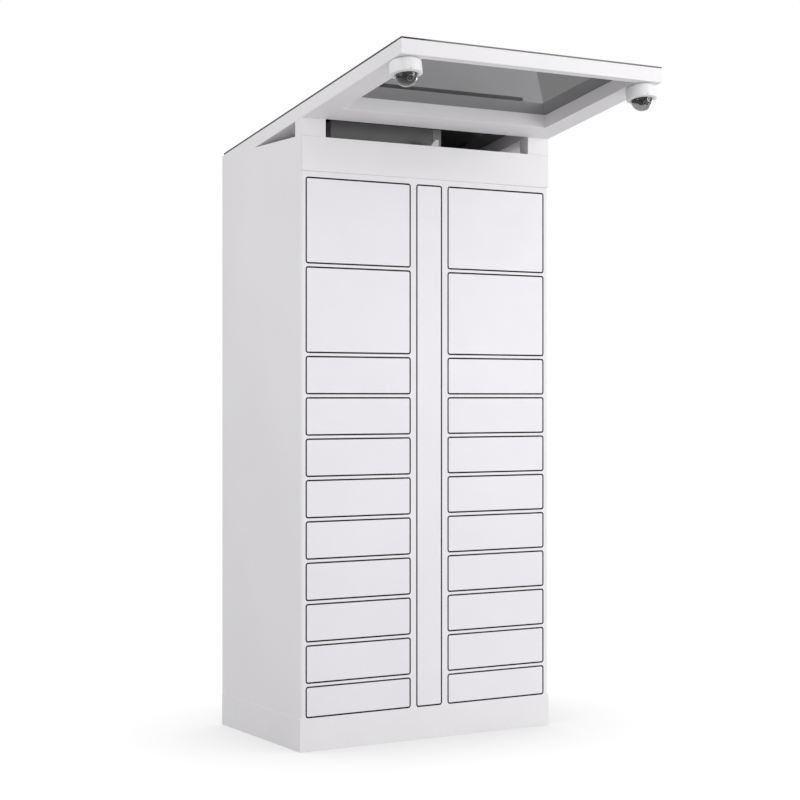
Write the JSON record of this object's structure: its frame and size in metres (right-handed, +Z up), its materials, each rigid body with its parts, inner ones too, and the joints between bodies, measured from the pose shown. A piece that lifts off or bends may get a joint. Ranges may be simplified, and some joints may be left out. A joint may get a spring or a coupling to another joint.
{
  "type": "parcel locker",
  "caption": "Free-standing outdoor parcel locker: columns of hinged compartment doors beside a service column, under a sloping solar canopy with dome cameras.",
  "frame": {"origin": "centre of the cabinet's footprint, on the floor, at the middle of the floor anchor holes", "axes": "+Z up, +X to the right seen from the front, -Y towards the doors' front"},
  "size_m": [1.002, 1.2492, 2.252],
  "materials": {
    "door_paint": "satin powder coat",
    "cabinet_paint": "fine-textured satin powder coat",
    "plinth_paint": "fine-textured satin powder coat",
    "galvanised_sheet": "galvanised sheet",
    "solar_glass": "dark solar laminate behind glass",
    "equipment_paint": "satin grey powder coat",
    "black_plastic": "moulded",
    "antenna_plastic": "moulded",
    "camera_plastic": "fine moulded, satin",
    "smoked_dome": "smoked polycarbonate, clear gloss",
    "camera_module": "moulded, with a glass lens",
    "lock_metal": "zinc-plated cases",
    "controller_plastic": "moulded",
    "battery_plastic": "moulded",
    "trunk_plastic": "extruded duct",
    "stainless": "turned"
  },
  "bodies": {
    "cabinet": {"plinth": "plinth_paint", "anchor_rails": "galvanised_sheet", "base_panel": "galvanised_sheet", "left_side_panel": "cabinet_paint", "right_side_panel": "cabinet_paint", "back_panel": "cabinet_paint", "top_panel": "cabinet_paint", "ceiling_panel": "galvanised_sheet", "left_divider": "cabinet_paint", "right_divider": "cabinet_paint", "shelves": "galvanised_sheet", "crossbars": "cabinet_paint", "front_header": "cabinet_paint", "header_panel": "cabinet_paint", "canopy_posts": "cabinet_paint", "left_canopy_beam": "cabinet_paint", "right_canopy_beam": "cabinet_paint", "front_fascia": "cabinet_paint", "rear_soffit": "cabinet_paint", "roof_panel": "solar_glass", "solar_junction_box": "black_plastic", "equipment_box": "equipment_paint", "antenna": "antenna_plastic", "left_camera_base": "camera_plastic", "left_camera_dome": "smoked_dome", "right_camera_base": "camera_plastic", "right_camera_dome": "smoked_dome", "door_locks": "lock_metal", "controller": "controller_plastic", "battery": "battery_plastic", "cable_trunk": "trunk_plastic", "hinge_pins": "stainless", "rear_screws": "stainless"},
    "left_door_1": {"left_door_1": "door_paint"},
    "right_door_1": {"right_door_1": "door_paint"},
    "left_door_2": {"left_door_2": "door_paint"},
    "right_door_2": {"right_door_2": "door_paint"},
    "left_door_3": {"left_door_3": "door_paint"},
    "right_door_3": {"right_door_3": "door_paint"},
    "left_door_4": {"left_door_4": "door_paint"},
    "right_door_4": {"right_door_4": "door_paint"},
    "left_door_5": {"left_door_5": "door_paint"},
    "right_door_5": {"right_door_5": "door_paint"},
    "left_door_6": {"left_door_6": "door_paint"},
    "right_door_6": {"right_door_6": "door_paint"},
    "left_door_7": {"left_door_7": "door_paint"},
    "right_door_7": {"right_door_7": "door_paint"},
    "left_door_8": {"left_door_8": "door_paint"},
    "right_door_8": {"right_door_8": "door_paint"},
    "left_door_9": {"left_door_9": "door_paint"},
    "right_door_9": {"right_door_9": "door_paint"},
    "left_door_10": {"left_door_10": "door_paint"},
    "right_door_10": {"right_door_10": "door_paint"},
    "left_door_11": {"left_door_11": "door_paint"},
    "right_door_11": {"right_door_11": "door_paint"},
    "service_door": {"service_door": "door_paint"},
    "left_camera_yoke": {"left_camera_yoke": "black_plastic"},
    "left_camera_eye": {"left_camera_eye": "camera_module"},
    "right_camera_yoke": {"right_camera_yoke": "black_plastic"},
    "right_camera_eye": {"right_camera_eye": "camera_module"}
  },
  "joints": [
    {"name": "left_door_1_hinge", "type": "hinge", "parent": "cabinet", "child": "left_door_1", "pos_m": [-0.4674, -0.292, 1.75725], "axis": [0, 0, -1], "range_deg": [0, 105]},
    {"name": "right_door_1_hinge", "type": "hinge", "parent": "cabinet", "child": "right_door_1", "pos_m": [0.4674, -0.292, 1.75725], "axis": [0, 0, 1], "range_deg": [0, 105]},
    {"name": "left_door_2_hinge", "type": "hinge", "parent": "cabinet", "child": "left_door_2", "pos_m": [-0.4674, -0.292, 1.46105], "axis": [0, 0, -1], "range_deg": [0, 105]},
    {"name": "right_door_2_hinge", "type": "hinge", "parent": "cabinet", "child": "right_door_2", "pos_m": [0.4674, -0.292, 1.46105], "axis": [0, 0, 1], "range_deg": [0, 105]},
    {"name": "left_door_3_hinge", "type": "hinge", "parent": "cabinet", "child": "left_door_3", "pos_m": [-0.4674, -0.292, 1.2446], "axis": [0, 0, -1], "range_deg": [0, 105]},
    {"name": "right_door_3_hinge", "type": "hinge", "parent": "cabinet", "child": "right_door_3", "pos_m": [0.4674, -0.292, 1.2446], "axis": [0, 0, 1], "range_deg": [0, 105]},
    {"name": "left_door_4_hinge", "type": "hinge", "parent": "cabinet", "child": "left_door_4", "pos_m": [-0.4674, -0.292, 1.1079], "axis": [0, 0, -1], "range_deg": [0, 105]},
    {"name": "right_door_4_hinge", "type": "hinge", "parent": "cabinet", "child": "right_door_4", "pos_m": [0.4674, -0.292, 1.1079], "axis": [0, 0, 1], "range_deg": [0, 105]},
    {"name": "left_door_5_hinge", "type": "hinge", "parent": "cabinet", "child": "left_door_5", "pos_m": [-0.4674, -0.292, 0.9712], "axis": [0, 0, -1], "range_deg": [0, 105]},
    {"name": "right_door_5_hinge", "type": "hinge", "parent": "cabinet", "child": "right_door_5", "pos_m": [0.4674, -0.292, 0.9712], "axis": [0, 0, 1], "range_deg": [0, 105]},
    {"name": "left_door_6_hinge", "type": "hinge", "parent": "cabinet", "child": "left_door_6", "pos_m": [-0.4674, -0.292, 0.8345], "axis": [0, 0, -1], "range_deg": [0, 105]},
    {"name": "right_door_6_hinge", "type": "hinge", "parent": "cabinet", "child": "right_door_6", "pos_m": [0.4674, -0.292, 0.8345], "axis": [0, 0, 1], "range_deg": [0, 105]},
    {"name": "left_door_7_hinge", "type": "hinge", "parent": "cabinet", "child": "left_door_7", "pos_m": [-0.4674, -0.292, 0.6978], "axis": [0, 0, -1], "range_deg": [0, 105]},
    {"name": "right_door_7_hinge", "type": "hinge", "parent": "cabinet", "child": "right_door_7", "pos_m": [0.4674, -0.292, 0.6978], "axis": [0, 0, 1], "range_deg": [0, 105]},
    {"name": "left_door_8_hinge", "type": "hinge", "parent": "cabinet", "child": "left_door_8", "pos_m": [-0.4674, -0.292, 0.5611], "axis": [0, 0, -1], "range_deg": [0, 105]},
    {"name": "right_door_8_hinge", "type": "hinge", "parent": "cabinet", "child": "right_door_8", "pos_m": [0.4674, -0.292, 0.5611], "axis": [0, 0, 1], "range_deg": [0, 105]},
    {"name": "left_door_9_hinge", "type": "hinge", "parent": "cabinet", "child": "left_door_9", "pos_m": [-0.4674, -0.292, 0.4244], "axis": [0, 0, -1], "range_deg": [0, 105]},
    {"name": "right_door_9_hinge", "type": "hinge", "parent": "cabinet", "child": "right_door_9", "pos_m": [0.4674, -0.292, 0.4244], "axis": [0, 0, 1], "range_deg": [0, 105]},
    {"name": "left_door_10_hinge", "type": "hinge", "parent": "cabinet", "child": "left_door_10", "pos_m": [-0.4674, -0.292, 0.2877], "axis": [0, 0, -1], "range_deg": [0, 105]},
    {"name": "right_door_10_hinge", "type": "hinge", "parent": "cabinet", "child": "right_door_10", "pos_m": [0.4674, -0.292, 0.2877], "axis": [0, 0, 1], "range_deg": [0, 105]},
    {"name": "left_door_11_hinge", "type": "hinge", "parent": "cabinet", "child": "left_door_11", "pos_m": [-0.4674, -0.292, 0.1625], "axis": [0, 0, -1], "range_deg": [0, 105]},
    {"name": "right_door_11_hinge", "type": "hinge", "parent": "cabinet", "child": "right_door_11", "pos_m": [0.4674, -0.292, 0.1625], "axis": [0, 0, 1], "range_deg": [0, 105]},
    {"name": "service_door_hinge", "type": "hinge", "parent": "cabinet", "child": "service_door", "pos_m": [-0.0397, -0.292, 1.0055], "axis": [0, 0, -1], "range_deg": [0, 105]},
    {"name": "left_camera_pan", "type": "hinge", "parent": "cabinet", "child": "left_camera_yoke", "pos_m": [-0.4505, -0.8933, 2.17224], "axis": [0, 0.165, 0.9863], "range_deg": [-175, 175]},
    {"name": "left_camera_tilt", "type": "hinge", "parent": "left_camera_yoke", "child": "left_camera_eye", "pos_m": [-0.4505, -0.89759, 2.1466], "axis": [1, 0, 0], "range_deg": [-35, 55]},
    {"name": "right_camera_pan", "type": "hinge", "parent": "cabinet", "child": "right_camera_yoke", "pos_m": [0.4505, -0.8933, 2.17224], "axis": [0, 0.165, 0.9863], "range_deg": [-175, 175]},
    {"name": "right_camera_tilt", "type": "hinge", "parent": "right_camera_yoke", "child": "right_camera_eye", "pos_m": [0.4505, -0.89759, 2.1466], "axis": [1, 0, 0], "range_deg": [-35, 55]}
  ]
}
